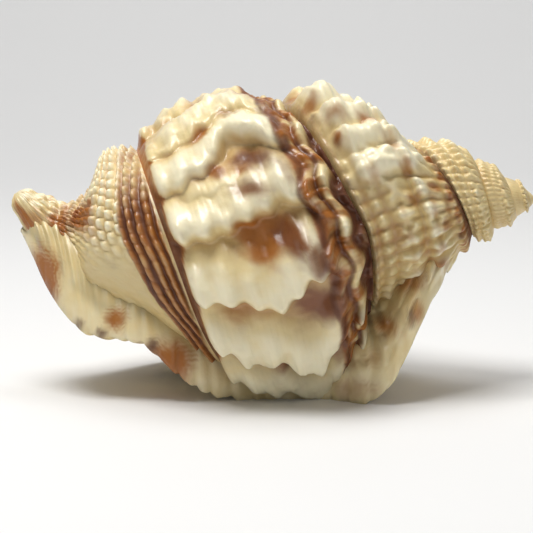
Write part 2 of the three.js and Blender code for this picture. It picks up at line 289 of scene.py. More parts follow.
def mixed(share, a, b):
    node = nodes.new("ShaderNodeMix")
    node.data_type = "RGBA"
    links.new(share, node.inputs["Factor"])
    for socket, value in ((node.inputs[6], a), (node.inputs[7], b)):
        if isinstance(value, tuple):
            socket.default_value = value
        else:
            links.new(value, socket)
    return node.outputs[2]


coordinates = nodes.new("ShaderNodeTexCoord").outputs["Object"]
clouds = noise(coordinates, CLOUDS_PER_METRE, 5)
grain = noise(coordinates, GRAINS_PER_METRE, 4)
growth_place = nodes.new("ShaderNodeCombineXYZ")
links.new(scaled(attribute("growth"), GROWTH_LINES_PER_DEGREE), growth_place.inputs[0])
links.new(scaled(attribute("width"), GROWTH_LINES_ACROSS), growth_place.inputs[1])
growth_lines = noise(growth_place.outputs[0], 1.0, 5)
unevenness = added(scaled(about_zero(clouds), 0.9), scaled(about_zero(growth_lines), 0.25))


def ragged(name, spread):
    """A painted share with its edge broken up by the uneven growth."""
    return ranged(added(attribute(name), scaled(unevenness, spread)), 0.08, 0.98, 0, 1)


# Painted shade and highlight: by their height the hollows are painted a deeper cream and the crests ivory.
height_share = added(attribute("ridge"), scaled(unevenness, 0.8))
colour = mixed(ranged(height_share, -0.1, 0.45, 0, 1), HOLLOW_CREAM, CREAM)
colour = mixed(ranged(height_share, 0.45, 1.0, 0, 1), colour, IVORY)
# The olive layer is painted shade. The orange and brown layers carry stains, and also painted shade in the
# spire's hollows and the suture's channel.
for stain, spread, pigment in (
    ("olive", 0.6, OLIVE), ("orange", 0.9, ORANGE_BROWN),
    ("purple", 0.7, PURPLE_BROWN), ("brown", 0.7, DARK_BROWN),
):
    colour = mixed(ragged(stain, spread), colour, pigment)
links.new(colour, surface.inputs["Base Color"])
dullness = added(ranged(grain, 0.3, 0.7, *POLISH), scaled(attribute("brown"), BROWN_DULLNESS))
links.new(dullness, surface.inputs["Roughness"])
bump = nodes.new("ShaderNodeBump")
bump.inputs["Strength"].default_value = 0.55
bump.inputs["Distance"].default_value = BUMP_DEPTH
links.new(added(scaled(growth_lines, 0.3), scaled(grain, 0.3)), bump.inputs["Height"])
links.new(bump.outputs["Normal"], surface.inputs["Normal"])


def finish(piece):
    """The piece stands for the solid, moves with it and takes the shell's enamel."""
    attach(piece, "root")
    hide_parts("shell")
    piece.data.materials.clear()
    piece.data.materials.append(enamel)


def shield_line(x, share):
    """Y and height of the plate's underside, share of the way from the near edge to the far edge."""
    y = through(NEAR_EDGE, x) * (1 - share) + through(FAR_EDGE, x) * share
    z = through(NEAR_HEIGHT, x) * (1 - share) + through(FAR_HEIGHT, x) * share
    return y, z


def groove_depth(x, y, z):
    """How far the canal's groove is cut up into the plate."""
    deep = np.maximum(through(GROOVE_ROOF, x) - z, 0.8)
    window = ease(x, -31, -28.5) * (1 - ease(x, -13, -9))
    return deep * hump(y, through(GROOVE_LINE, x), GROOVE_HALF * 1.6) * window


def shield_under(x, share):
    """Points of the plate's underside."""
    y, z = shield_line(x, share)
    z = z + through(SHIELD_HOLLOW, x) * np.sin(math.pi * np.clip(share, 0, 1))
    return np.stack([x, y, z + groove_depth(x, y, z)], -1)


def shield_top(x, share):
    """Points of the plate's upper face, which runs up under the whorl."""
    y, z = shield_line(x, share)
    width = through(FAR_EDGE, x) - through(NEAR_EDGE, x)
    rise = np.minimum(SHIELD_RISE, through(SHIELD_RISE_SHARE, x) * width)
    arch = np.clip(np.sin(math.pi * share), 0, 1)
    return np.stack([x, y, z + rise * arch ** through(SHIELD_STEEPNESS, x)], -1)


def share_across(x, y):
    """How far across the plate a point lies, from 0 at the near edge to 1 at the far edge."""
    near = through(NEAR_EDGE, x)
    return (y - near) / np.maximum(through(FAR_EDGE, x) - near, 0.01)


SCALLOP_STEP = 2.1
SCALLOP_DEPTH = 0.55
LIP_TEETH = 9
COLUMELLA_FOLDS = 7
END_SWEEP = 0.03
TOOTH_WIDTH = 0.3
TOOTH_DROP = 0.85
FOLDS = 46
FOLD_DEPTH = 0.22
EDGE_ROLL = 0.2
PLEAT_DEPTH = 0.38
LUMP_STEP = 3.3
LUMP_DEPTH = 0.8
LOBE_STEP = 3.7
CAVITY_CLIMB = 14
SHIELD_COLUMNS = 520
CAVITY_ROWS, UNDER_ROWS, TOP_ROWS = ((36, 80, 70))

# Each column of points starts in the hollow, comes out of the mouth, crosses the underside to the edge
# and runs up under the whorl. Around counts the columns from the canal's tip along the near edge and back.
around = np.linspace(0, 1, SHIELD_COLUMNS + 1)[:, None]
turn = 2 * math.pi * around
edge_x = SHIELD_ENDS[0] + (SHIELD_ENDS[1] - SHIELD_ENDS[0]) * (0.5 - 0.5 * np.cos(turn))
tip_share = 0.5 * (1 - ease(around, 0, END_SWEEP)) - 0.5 * ease(around, 1 - END_SWEEP, 1)
edge_share = tip_share + ease(around, 0.5 - END_SWEEP, 0.5 + END_SWEEP)
teeth = np.where(around > 0.5, beads(around * 2 * LIP_TEETH), beads(around * 2 * COLUMELLA_FOLDS)) ** 2
teeth = teeth * np.sin(turn) ** 2
narrowed = 1 - TOOTH_WIDTH * teeth
mouth_x = MOUTH_CENTRE[0] - MOUTH_HALF[0] * np.cos(turn)
mouth_y = MOUTH_CENTRE[1] - MOUTH_HALF[1] * np.sin(turn) * narrowed
mouth_share = share_across(mouth_x, mouth_y)

# The hollow behind the mouth.
inward = np.linspace(1, 0, CAVITY_ROWS + 1)[None, :-1]
cavity_angle = CAVITY_ANGLES[0] + (CAVITY_ANGLES[1] - CAVITY_ANGLES[0]) * inward
closing = np.sqrt(1 - inward ** 6)
ring = place(
    CAVITY_X - CAVITY_HALF[0] * np.cos(turn) * closing,
    CAVITY_RADIUS - CAVITY_HALF[1] * np.sin(turn) * closing,
    cavity_angle + 0 * turn,
)
mouth_rim = shield_under(mouth_x, mouth_share)
wall = mouth_rim + np.stack([0 * inward, 0 * inward, CAVITY_CLIMB * inward], -1)
blend = ease(inward, 0.02, 0.5)[..., None]
cavity = wall * (1 - blend) + ring * blend

# The underside, from the mouth's rim to the edge.
outward = np.linspace(0, 1, UNDER_ROWS + 1)[None, :]
under_x = mouth_x + (edge_x - mouth_x) * outward
under_share = mouth_share + (edge_share - mouth_share) * outward
under = shield_under(under_x, under_share)
folds = beads(around * FOLDS + 0.6 * wander(around * 9, outward * 2, 4))
under[..., 2] -= TOOTH_DROP * teeth * (1 - ease(outward, 0.0, 0.35)) * ease(outward, -0.06, 0.05)
under[..., 2] -= FOLD_DEPTH * folds * ease(outward, 0.35, 0.9) + EDGE_ROLL * hump(outward, 0.93, 0.08)

# The upper face, from the edge up under the whorl.
upward = np.linspace(0, 1, TOP_ROWS + 1)[None, 1:] ** 1.6
top_share = edge_share + (0.5 - edge_share) * upward
top = shield_top(edge_x + 0 * upward, top_share)
side = np.where(around > 0.5, 1.0, -1.0)
pleats = 1.3 * wander(edge_x * 1.1 + upward * 5, upward * 3, 11) + 0.4 * np.cos(edge_x * 4.2 + upward * 14)
pleats = pleats * ease(np.abs(np.sin(turn)), 0, 0.25)
top[..., 1] += side * PLEAT_DEPTH * pleats * ease(upward, 0, 0.1) * (1 - ease(upward, 0.6, 1))
near_right = ease(edge_x, 7, 11) * (around < 0.5)
lumps = beads(edge_x / LUMP_STEP + 0.3 * wander(upward * 4, edge_x, 13))
lumps = lumps * beads(upward * 6 + 0.25 * wander(edge_x, 0 * upward, 14)) * near_right
top[..., 1] += side * LUMP_DEPTH * lumps * ease(upward, 0.01, 0.08) * (1 - ease(upward, 0.7, 1))

# The scalloped edge.
scallop = beads(edge_x / SCALLOP_STEP + 0.35 * wander(edge_x * 0.9, 0, 8)) - 0.5
scallop = scallop + 1.3 * (beads(edge_x / LOBE_STEP + 0.2) - 0.5) * near_right
out_from_edge = np.concatenate([outward * 0 + ease(outward, 0.75, 1), 1 - ease(upward, 0, 0.35)], 1)
growth_edge = np.concatenate([under, top], 1)
reach = SCALLOP_DEPTH * scallop * np.sin(turn) ** 2 * out_from_edge
growth_edge[..., 1] += side * reach
growth_edge[..., 2] -= 0.9 * reach
shield_points = np.concatenate([cavity, growth_edge], 1)
shield_points[..., 2] = np.maximum(shield_points[..., 2], REST_HEIGHT)
shield = sheet_from_grid("shield_and_aperture", stand(shield_points))
finish(shield)

# Depth is below 0 in the hollow, 0 at the mouth's rim, 1 at the edge and up to 2 under the whorl.
x, y, z = shield_points[..., 0], shield_points[..., 1], shield_points[..., 2]
depth = np.concatenate([-inward, outward, 1 + upward], 1) + 0 * x
near_side = 1 - ease(y, -6, 0)
glaze = wander(around * 40, depth * 3, 21)
under_side = depth < 1
upper_side = ease(depth, 1, 1.1)

# Spots as place along X, height, half widths and strength.
OCHRE_SPOTS = [
    (-29.4, 16.2, 2.8, 4.5, 1.7), (-19, 11.5, 1.6, 1.6, 0.9), (-12.5, 6, 3.2, 3.5, 0.95),
    (16.3, 16, 2.6, 1.8, 0.8), (10, 3, 3, 1.5, 0.5), (13.5, 10.5, 1.6, 1.3, 0.7),
    (17.5, 12.5, 1, 1.6, 0.8), (12, 6.5, 1.2, 1.4, 0.5),
]
EDGE_BROWN_SPOTS = [
    (-23.5, 10.5, 0.8, 1, 0.8), (-20.8, 9.6, 0.8, 1, 0.8), (-14.6, 8.6, 1, 1.2, 0.7),
    (16.7, 12, 0.7, 1.4, 0.7),
]
# Painted shade and highlight on the plate: darker going in through the mouth and up under the whorl, lighter
# along its edge, with its uneven glaze.
shield_ridge = 0.42 + 0.25 * glaze * under_side - 0.35 * ease(-depth, 0.05, 0.4)
shield_ridge = shield_ridge + 0.25 * ease(depth, 0.9, 1) - 0.25 * ease(depth, 1.02, 1.3)
# Painted shade: olive along the plate's edge and flange, less to the right, with some uneven tone on its
# upper face.
shield_olive = 0.5 * ease(depth, 0.98, 1.08) * (1 - 0.4 * ease(depth, 1.2, 1.5)) * (1 - 0.6 * ease(x, 6, 11))
shield_olive = shield_olive + 0.2 * wander(x * 0.5, z * 0.5, 23) * upper_side
rim_orange = 0.5 * ease(depth, 0.3, 0.75) * (1 - ease(depth, 0.9, 1)) * (0.6 + 0.6 * glaze)
mouth_purple = 0.8 * (1 - ease(np.abs(depth - 0.12), 0.02, 0.2)) * (1 - teeth) * (0.8 + 0.4 * glaze)
rim_band = ease(depth, 0.82, 0.9) * (1 - ease(depth, 0.98, 1.02))
rim_brown = 0.42 * beads(around * FOLDS) * rim_band * (glaze > 0.1)
paint(
    shield,
    growth=around * TURN + depth * 20,
    width=depth,
    ridge=shield_ridge,
    olive=shield_olive,
    orange=np.maximum(stains(x, z, OCHRE_SPOTS, 31) * near_side, rim_orange),
    purple=mouth_purple,
    brown=np.maximum(stains(x, z, EDGE_BROWN_SPOTS, 41) * near_side, rim_brown),
)

# The last whorl with its base and canal
# The youngest and largest turn of the shell's tube, grown in folded glossy layers that overlap like
# thick cream. Beaded cords wind round its base, and it draws out into the bent canal at its old end.

LIP_ANGLE = 232.0

# These lists give values at growth angles. A turn's later suture is its first one, read a turn later.
SUTURE_PLACE = [
    (-1530, 32.5), (-1440, 32.2), (-1260, 31.2), (-1080, 29.9), (-900, 28.3), (-720, 26.6),
    (-630, 25.8), (-540, 25.2), (-450, 24.5), (-360, 23.2), (-315, 21.4), (-270, 18.2), (-180, 15),
    (-90, 10), (-60, 10.3), (-40, 10.9), (0, 11.6), (30, 9.9), (60, 7.4), (90, 4.6), (180, 0.2),
    (270, -5), (300, -8), (330, -9.8), (360, -11), (405, -13), (450, -14.4), (592, -15.6),
]
SUTURE_RADIUS = [
    (-1530, 0.6), (-1440, 0.9), (-1260, 1.7), (-1080, 2.4), (-900, 3.1), (-720, 4.1), (-630, 5),
    (-540, 4.6), (-450, 4), (-360, 6.4), (-270, 7.9), (-180, 9.4), (-90, 9.4), (0, 12.2), (45, 15),
    (90, 16.2), (180, 15.6), (232, 15), (270, 13.8), (300, 15.2), (360, 15.2), (450, 13.4), (592, 13.8),
]
SWELL = [
    (-1530, 0.1), (-1260, 0.4), (-1080, 0.5), (-900, 0.7), (-720, 1.1), (-630, 1.3), (-540, 1.2),
    (-450, 1.1), (-360, 2.6), (-270, 3.6), (-180, 4), (-90, 4.4), (-40, 4.8), (0, 5.2), (90, 4.1),
    (180, 4), (232, 4.2),
]
SKEW = [
    (-720, 0.9), (-630, 0.9), (-450, 0.8), (-360, 0.75), (-320, 1.1), (-270, 2.4), (-230, 1.3),
    (-180, 0.9), (-90, 0.75), (0, 0.62), (60, 0.66), (90, 0.8), (160, 0.8),
]

# The canal's lists give values at places along X.
CANAL_RADIUS = [
    (-32.3, 0), (-31.9, 1), (-30.5, 1.9), (-28, 2.9), (-26, 4), (-24.3, 5.6), (-22.6, 9.4), (-20, 11.4),
    (-17, 12.8), (-14, 14),
]
CANAL_UNDERSIDE = [(-27, 1), (-23, 0.72), (-18, 0.72), (-9, 1)]
BASE_BLEND = 0.55
BASE_GROWTH = 0.1

# Each rib in front: its crest's angle across the whorl, its height there, and its half widths below and
# above the crest.
RIB_CRESTS = [
    ([(0.14, 60), (0.24, 61), (0.31, 66), (0.37, 72), (0.48, 70), (0.63, 66), (0.85, 62), (0.97, 60)],
     [(0.14, 0.8), (0.31, 1.7), (0.48, 1.8), (0.63, 1.7), (0.85, 1.5), (0.97, 1.1)], 8, 24),
    ([(0.14, 50), (0.24, 50), (0.32, 51), (0.4, 56), (0.51, 56),
      (0.61, 48), (0.75, 45), (0.89, 41), (0.97, 43)],
     [(0.14, 1.4), (0.24, 2.5), (0.32, 2.9), (0.4, 2.5), (0.51, 1.9),
      (0.61, 1.9), (0.75, 2.1), (0.89, 2.3), (0.97, 1.6)], 9, 16),
    ([(0.42, 38), (0.5, 35), (0.6, 33), (0.78, 32), (0.9, 31)],
     [(0.4, 0.2), (0.5, 1.2), (0.6, 1.5), (0.78, 1.4), (0.93, 0.4)], 6, 10),
    ([(0.16, 21), (0.2, 23), (0.26, 28), (0.33, 30), (0.51, 25), (0.77, 21), (0.9, 20), (0.97, 22)],
     [(0.16, 1.4), (0.2, 2.5), (0.26, 2.8), (0.33, 2.5), (0.51, 2.0), (0.77, 2.1), (0.9, 2.5), (0.97, 1.7)],
     9, 16),
    ([(0.16, -3), (0.21, 2), (0.29, 3), (0.43, -4), (0.52, -8), (0.76, -5), (0.9, -4), (0.97, -5)],
     [(0.16, 1.6), (0.21, 3.2), (0.29, 3.2), (0.43, 2.2), (0.52, 2.0), (0.76, 2.2), (0.9, 2.5), (0.97, 1.7)],
     9, 17),
    ([(0.16, -24), (0.25, -30), (0.41, -40), (0.6, -33), (0.77, -34), (0.89, -27), (0.96, -26)],
     [(0.16, 1.5), (0.25, 2.3), (0.41, 2.7), (0.6, 2.4), (0.77, 2.4), (0.89, 2.4), (0.96, 1.7)], 8, 19),
    ([(0.16, -48), (0.3, -55), (0.44, -60), (0.61, -53), (0.75, -54), (0.84, -48), (0.95, -49)],
     [(0.16, 1.8), (0.3, 2.7), (0.44, 3.0), (0.61, 2.7), (0.75, 2.8), (0.84, 2.6), (0.95, 1.9)], 9, 14),
]

# The other ribs run nearly straight across: angle, height and half width.
PLAIN_RIBS = [
    (-323, 1.7, 11), (-310, 2.5, 11), (-296, 2.9, 11), (-281, 2.9, 12), (-257, 1.8, 12), (-232, 0.6, 12),
    (-208, 0.5, 12), (-184, 0.5, 12), (-160, 0.5, 12), (-136, 0.6, 12), (-112, 0.9, 12), (-86, 1.2, 14),
    (95, 1.5, 15), (120, 1.4, 15), (145, 1.4, 15), (170, 1.4, 15), (194, 1.5, 15), (222, 3, 20),
]

# From here on, lists of pairs give values at growth angles.
RIB_SLANT = [(-400, 4), (-300, 10), (-200, 0), (-86, -4), (71, 10), (120, 6), (192, 0)]
RIB_START = [(-330, 0.3), (-300, 0.5), (-260, 0.5), (-235, 0.15), (-130, 0.15), (-80, 0.22)]
OVERHANG = 1.6
BAND_EDGE = [(-80, -9.5), (-42, -11.8), (-10, -15.2), (25, -17.4), (75, -16.4), (180, -16)]
RIB_UNEVENNESS = 2.0
RIB_SCALLOPS = 7.5
OLD_RIB_ANGLE = -240
NET_CORDS = [(-1100, 3), (-630, 4), (-400, 6.5), (-128, 7)]
NET_RIBLET_STEP = 8
NET_SIZE = [(-1530, 0.02), (-1100, 0.15), (-900, 0.4), (-720, 0.6), (-400, 0.95), (-128, 0.85)]
SHOULDER_NODE_STEP = 13.3
LAMELLA_HEIGHT = 0.6
SUTURE_KNOB_STEP = 20.4
SUTURE_KNOB_ANGLE = 10.5
CHANNEL_DEPTH = 1.6
BASE_ROW_STEP = 1.7
BAND_CORD_STEP = 1.25


def rib_height(angle, across):
    """Axial ribs: a long slope on the young side and a steep scalloped ledge on the old side."""
    scallop = np.cos(2 * math.pi * (across * RIB_SCALLOPS + 0.3 * wander(angle / 24, across * 3, 5)))
    scalloped = ease(angle, -110, -60)
    uneven = RIB_UNEVENNESS * wander(angle / 24, across * 5, 3)
    along = angle + uneven + 0.75 * scallop * scalloped
    tallest = np.zeros_like(along)
    for crest, heights, lower, upper in RIB_CRESTS:
        past = along - through(crest, across)
        share = np.clip(np.abs(past) / np.where(past < 0, lower, upper), 0, 1)
        profile = (1 - share * share) ** np.where(past < 0, 1.3, 1.1)
        tallest = np.maximum(tallest, through(heights, across) * profile)
    slanted = angle + through(RIB_SLANT, angle) * (across - 0.5)
    slanted = slanted + 2.2 * wander(across * 11, angle / 30, 29) * (1 - ease(angle, -140, -100))
    slanted = slanted + (uneven + 0.9 * scallop * scalloped) * (1 - ease(angle, 195, 215))
    for at, height, half in PLAIN_RIBS:
        side = np.where(slanted < at, 0.75, 1.25 if at > OLD_RIB_ANGLE else 0.95)
        bumpy = 1 + 0.22 * wander(across * 17, angle / 20, 28)
        tallest = np.maximum(tallest, height * bumpy * hump(slanted, at, half * side) ** 0.65)
    return tallest * (1 + 0.1 * scallop * scalloped)


def net_share(angle, across):
    """The spire's net of crossing cords and riblets, 0 in its hollows."""
    cord = beads(across * through(NET_CORDS, angle) + 0.5 + 0.14 * wander(angle / 20, across * 4, 17)) ** 2.4
    riblet = beads(angle / NET_RIBLET_STEP + 0.16 * wander(angle / 15, across * 6, 18)) ** 2
    uneven = 0.85 + 0.3 * wander(angle / 9, across * 8, 19)
    return (0.95 * cord * (0.25 + 0.75 * riblet) + 0.25 * riblet) * uneven


def early_relief(angle, across, grid):
    """The spire's net, shoulder nodes and the thin edge at its later suture, in mm."""
    size = through(NET_SIZE, angle)
    young = ease(angle, -560, -430)
    old_lip = ease(angle, -335, -310) * (1 - ease(angle, -262, -240)) * ease(across, 0.4, 0.65)
    node = hump(across, 0.33, 0.11) * beads((angle + 353) / SHOULDER_NODE_STEP) ** 1.5
    node = node + 0.7 * hump(across, 0.6, 0.09) * beads((angle + 339) / SHOULDER_NODE_STEP) ** 1.5
    relief = grid * size * (1 - 0.8 * old_lip) + node * 1.7 * size * young * (1 - old_lip)
    relief = relief + 0.5 * hump(across, 0.3, 0.15) * beads(angle / 18) * (1 - young)
    lamella = hump(across, 0.972, 0.028) * ease(angle, -480, -400) * (1 - ease(angle, -185, -150))
    edge = ease(across, 0.0, 0.06) * (1 - ease(across, 0.95, 1))
    return (relief + LAMELLA_HEIGHT * lamella) * edge


def enamel_lumps(angle, across, rib):
    """Broad and fine unevenness of the ribs' enamel, in mm."""
    broad = np.cos(2 * math.pi * (across * 6.5 + 0.12 * wander(angle / 26, across * 3, 6)))
    fine = np.cos(2 * math.pi * across * 31 + 2 * wander(angle / 18, across * 4, 7))
    lumps = 0.24 * wander(angle / 6, across * 16, 9) + 0.2 * wander(angle / 4.5, across * 8, 27)
    body = 0.17 * broad + 0.03 * fine + lumps * (1 + ease(angle, 50, 70))
    return body * (0.5 + 0.3 * rib) * ease(across, 0.17, 0.24)


def suture_relief(angle, across):
    """The knobbed cords by the suture and the channel beside them, in mm, and their shares."""
    knob_turn = np.radians((angle - SUTURE_KNOB_ANGLE) * TURN / SUTURE_KNOB_STEP)
    meander = across + 0.02 * np.sin(knob_turn) + 0.01 * wander(angle / 5, 0, 25)
    streak = wander(angle / 1.8, across * 5, 26)
    outer_beads = beads((angle - SUTURE_KNOB_ANGLE) / (SUTURE_KNOB_STEP / 2) + 0.1 * wander(angle / 9, 0, 12))
    outer = hump(meander, 0.1, 0.05) * (0.35 + 0.65 * outer_beads)
    inner = hump(meander, 0.172, 0.042) * (0.4 + 0.6 * beads((angle - 5) / 8.4))
    knob = hump(across, 0.09, 0.07) * beads((angle - SUTURE_KNOB_ANGLE) / SUTURE_KNOB_STEP) ** 3
    ridges = 1.2 * outer + inner + 1.1 * knob + 0.3 * wander(angle / 3, across * 40, 16) + 0.4 * streak
    ridges = ridges * (1 - 0.5 * ease(angle, 55, 75)) * (0.85 + 0.4 * wander(angle / 8, across * 7, 20))
    channel = CHANNEL_DEPTH * hump(meander, 0.042, 0.045)
    relief = ridges * (1 - ease(across, 0.2, 0.26)) - channel
    return relief, {"knob": knob, "cord": np.maximum(outer, inner), "meander": meander, "streak": streak}


def whorl_relief(angle, across):
    """How far the whorl's sculpture stands out in mm, how much of it is rib, and its finer shares."""
    late = ease(angle, -130, -80)
    start = ease(across, 0.03 + 0.12 * late, through(RIB_START, angle))
    end = 1 - ease(across, 0.945 * late + 0.76 * (1 - late), 0.998)
    rib = rib_height(angle, across) * start * end
    grid = net_share(angle, across)
    suture, shares = suture_relief(angle, across)
    last = enamel_lumps(angle, across, rib) * end + suture
    relief = rib + early_relief(angle, across, grid) * (1 - late)
    relief = relief + last * late * ease(across, 0, 0.012)
    return relief, rib, {"grid": grid, "late": late + 0 * across, **shares}


def whorl_points(angle, across, drop):
    """Points of the whorls, their relief, its ribs and its shares; drop draws them inwards."""
    x = through(SUTURE_PLACE, angle) * (1 - across) + through(SUTURE_PLACE, angle + TURN) * across
    radius = through(SUTURE_RADIUS, angle) * (1 - across) + through(SUTURE_RADIUS, angle + TURN) * across
    swell = through(SWELL, angle) * np.sin(math.pi * across ** through(SKEW, angle)) ** 0.75
    relief, rib, shares = whorl_relief(angle, across)
    folded_over = angle - OVERHANG * rib * shares["late"] * (1 - ease(angle, 195, 215))
    return place(x, radius + swell + relief - drop, folded_over), relief, rib, shares


profile_x = np.linspace(TIP_X, -4, 400)
profile_slope = np.gradient(through(CANAL_RADIUS, profile_x), profile_x)
profile_length = np.cumsum(np.hypot(1, profile_slope)) * (profile_x[1] - profile_x[0])


def base_relief(angle, x, down):
    """Cords and beads of the base and canal, in mm, and the shares of band and bead."""
    upper = ease(np.sin(np.radians(angle)), -0.1, 0.45)
    band_edge = through(BAND_EDGE, angle)
    past_band = ease(band_edge - x, -0.3, 0.5)
    length = np.interp(x, profile_x, profile_length) - np.interp(band_edge, profile_x, profile_length)
    row = (length + 0.4 * wander(angle / 15, x * 0.3, 22)) / BASE_ROW_STEP
    bead = beads(angle / 6.8 + 0.3 * np.floor(row + 0.5) + 0.2 * wander(angle / 10, x * 0.6, 23))
    kernel = beads(row) ** 1.2 * (0.12 + 0.88 * bead)
    kernels = (0.9 + 0.3 * wander(angle / 7, x * 0.8, 24)) * kernel * past_band * (1 - ease(-x, 25.5, 27.5))
    cord_row = (x - band_edge) / BAND_CORD_STEP + 0.3 * wander(angle / 14, 0, 14)
    cord_beads = beads(angle / 6.3 + 0.37 * np.floor(cord_row + 0.5) + 0.2 * wander(angle / 11, x, 21))
    beaded = 0.3 + 0.35 * ease(angle, 10, 60)
    thin = beads(cord_row) ** 1.8 * (1 - beaded + beaded * cord_beads) * (1 - past_band)
    canal = ease(-x, 25.5, 27) * (1 - ease(-x, 29.6, 31))
    knobs = 0.5 * beads(x / 1.25 + angle / 70) * beads(angle / 17) * canal
    start = ease(down, 0, 0.03)
    growth = 0.07 * wander(angle / 3 + x * 1.5, x * 0.4, 15)
    relief = (kernels * (0.12 + 0.88 * upper) + 0.85 * thin + knobs * upper + growth) * start
    return relief, {"band": (1 - past_band) * start, "thin": thin, "kernel": kernel, "upper": upper}


def base_points(angle, down, drop):
    """Points of the base and canal, their X and their shares; down runs from the last whorl to the tip."""
    edge_x = through(SUTURE_PLACE, angle + TURN)
    edge_radius = through(SUTURE_RADIUS, angle + TURN)
    x = edge_x * (1 - down) + TIP_X * down
    below = 0.5 - 0.5 * np.sin(np.radians(angle))
    growth = 1 + BASE_GROWTH * (angle - LIP_ANGLE + TURN) / TURN

    def canal(at):
        return through(CANAL_RADIUS, at) * growth * (1 + (through(CANAL_UNDERSIDE, at) - 1) * below)

    blend = np.clip(1 - down / BASE_BLEND, 0, 1) ** 2
    fit = edge_radius / canal(edge_x) - 1
    relief, shares = base_relief(angle, x, down)
    radius = canal(x) * (1 + fit * blend)
    relief = relief * np.minimum(radius / 2, 1)
    slope = np.interp(x, profile_x, profile_slope)
    outward_x = x - relief * slope / np.hypot(1, slope)
    radius = radius + relief / np.hypot(1, slope)
    return place(outward_x, np.maximum(radius - drop, 0), angle), x, shares


PLATE_COVER = 0.7


def clear_of_mouth(points, margin):
    """True for coil points that lie outside the mouth and the hollow."""
    x, y, z = points[..., 0], points[..., 1], points[..., 2]
    mouth = ((x - MOUTH_CENTRE[0]) / MOUTH_HALF[0]) ** 2 + ((y - MOUTH_CENTRE[1]) / MOUTH_HALF[1]) ** 2
    in_mouth = (mouth < margin) & (z < 13)
    lean = np.radians(through(LEAN, CAVITY_X))
    up = (z - through(CENTRE_HEIGHT, x)) / np.cos(lean)
    radius = np.hypot(y, up)
    turn = np.degrees(np.arctan2(up, -y)) % TURN
    hollow = ((x - CAVITY_X) / CAVITY_HALF[0]) ** 2 + ((radius - CAVITY_RADIUS) / CAVITY_HALF[1]) ** 2
    in_hollow = (hollow < margin) & (turn > CAVITY_ANGLES[1]) & (turn < CAVITY_ANGLES[0] + 20)
    return ~(in_mouth | in_hollow)


def kept_under_plate(points):
    """Coil points that would come through the plate's underside are held inside the plate."""
    x, y, z = points[..., 0], points[..., 1], points[..., 2]
    share = share_across(x, y)
    floor_height = shield_under(x, share)[..., 2] + PLATE_COVER
    beside = (share < 0.02) | (share > 0.98) | (x < SHIELD_ENDS[0] + 0.5) | (x > SHIELD_ENDS[1] - 0.5)
    held = np.where(beside, z, np.maximum(z, floor_height))
    return np.stack([x, y, np.maximum(held, REST_HEIGHT)], -1)


def cut_away(piece, kept):
    """The points that are not kept are deleted with their faces."""
    deselect_all()
    bpy.context.view_layer.objects.active = piece
    piece.select_set(True)
    bpy.ops.object.mode_set(mode="EDIT")
    bpy.ops.mesh.select_mode(type="VERT")
    bpy.ops.mesh.select_all(action="DESELECT")
    bpy.ops.object.mode_set(mode="OBJECT")
    piece.data.vertices.foreach_set("select", ~kept.reshape(-1))
    bpy.ops.object.mode_set(mode="EDIT")
    bpy.ops.mesh.delete(type="VERT")
    bpy.ops.object.mode_set(mode="OBJECT")


COLUMNS_PER_TURN = 500
WHORL_ROWS = 98
BASE_ROWS = 88
LIP_COLUMNS = 8
LIP_DEPTH = 3.5
LIP_ROLL = 2.5
MOUTH_MARGIN = 1.08

last_angles = np.linspace(LIP_ANGLE - TURN, LIP_ANGLE, COLUMNS_PER_TURN + 1)
folded = np.linspace(0, 1, LIP_COLUMNS + 1)[1:]
last_angles = np.concatenate([last_angles, LIP_ANGLE + LIP_ROLL * np.sin(folded * math.pi / 2)])[:, None]
lip_drop = LIP_DEPTH * (1 - np.cos(folded * math.pi / 2))
lip_drop = np.concatenate([np.zeros(COLUMNS_PER_TURN + 1), lip_drop])[:, None]
across = np.linspace(0, 1, WHORL_ROWS + 1)[None, :] ** 1.15
down = np.linspace(0, 1, BASE_ROWS + 1)[None, 1:] ** 1.2
whorl_angle, whorl_across = last_angles + 0 * across, across + 0 * last_angles
base_angle, base_down = last_angles + 0 * down, down + 0 * last_angles
whorl, whorl_height, rib, shares = whorl_points(whorl_angle, whorl_across, lip_drop)
base, base_x, base_shares = base_points(base_angle, base_down, lip_drop)
last_points = np.concatenate([whorl, base], 1)
last_whorl = sheet_from_grid("last_whorl_and_canal", stand(kept_under_plate(last_points)))
finish(last_whorl)

# Spots as growth angle, place across or down, half widths and strength.
WHORL_ORANGE = [
    (13, 0.51, 10, 0.2, 1.2), (40, 0.45, 7, 0.2, 0.9), (39, 0.62, 4, 0.07, 0.9),
    (60, 0.62, 7, 0.1, 0.9), (-15, 0.68, 5, 0.18, 0.62), (66, 0.45, 5, 0.1, 0.7),
    (35, 0.86, 4, 0.07, 0.5), (78, 0.3, 6, 0.14, 0.8), (90, 0.6, 8, 0.2, 0.7), (110, 0.4, 9, 0.25, 0.7),
    (133, 0.6, 8, 0.3, 0.8), (158, 0.45, 8, 0.3, 0.8), (183, 0.6, 8, 0.3, 0.8), (-75, 0.5, 5, 0.3, 0.8),
    (-62, 0.9, 4, 0.06, 0.6), (-38, 0.83, 3, 0.06, 0.4),
]
WHORL_PURPLE = [
    (12, 0.36, 8, 0.11, 1.05), (5, 0.27, 7, 0.08, 0.9), (-16, 0.33, 7, 0.17, 1.1),
    (31, 0.5, 4, 0.14, 0.75), (-41, 0.57, 2.5, 0.13, 0.75), (66, 0.42, 4, 0.07, 0.6),
    (-43, 0.26, 5, 0.07, 0.7), (36, 0.25, 6, 0.06, 0.6),
]
WHORL_BROWN = [(41, 0.4, 6, 0.13, 0.85), (39, 0.61, 3, 0.045, 0.5), (62, 0.24, 7, 0.06, 0.7)]
